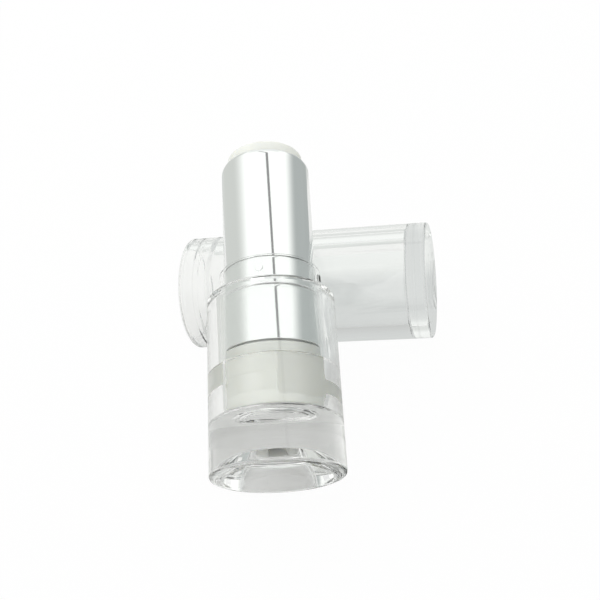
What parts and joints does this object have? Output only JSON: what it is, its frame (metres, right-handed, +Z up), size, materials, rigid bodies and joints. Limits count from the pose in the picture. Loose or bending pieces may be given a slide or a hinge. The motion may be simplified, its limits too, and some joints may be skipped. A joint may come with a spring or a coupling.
{
  "type": "lipstick tube",
  "caption": "Empty twist-up lipstick tube with a clear thick-walled base, a metal shell and a clear cap, lying open with the tube leaning across its cap.",
  "frame": {"origin": "on the surface the tube and cap lie on, in the middle of the footprint", "axes": "+Z up; +Y the level direction in which the tube's axis climbs from its foot to its rim, at 26.2 degrees; +X to the right, within 6.8 degrees of the cap's axis towards its closed end"},
  "size_m": [0.0492, 0.0642, 0.0421],
  "materials": {
    "clear_base": "clear polished moulded plastic",
    "clear_cap": "clear polished moulded plastic",
    "natural_white": "translucent natural white, satin",
    "white_inner": "natural white, satin",
    "silver": "bright anodised silver"
  },
  "bodies": {
    "base": {"base_shell": "clear_base", "collar": "clear_base", "guide_tube": "natural_white"},
    "sleeve": {"spiral_sleeve": "white_inner", "metal_shell": "silver"},
    "carrier": {"cup": "white_inner"},
    "cap": {"cap": "clear_cap"}
  },
  "joints": [
    {"name": "sleeve_turn", "type": "hinge", "parent": "base", "child": "sleeve", "pos_m": [-0.00419, -0.02746, 0.0097], "axis": [0, 0.8973, 0.4415], "range_deg": [0, 540]},
    {"name": "cup_rise", "type": "slide", "parent": "base", "child": "carrier", "axis": [0, 0.8973, 0.4415], "range_m": [0, 0.024]},
    {"name": "cap_slide", "type": "slide", "parent": "base", "child": "cap", "axis": [0.993, -0.1179, 0], "range_m": [0, 0.032]}
  ],
  "couplings": [
    {"joint": "cup_rise", "follows": "sleeve_turn", "m_per_rad": 0.0025465}
  ]
}
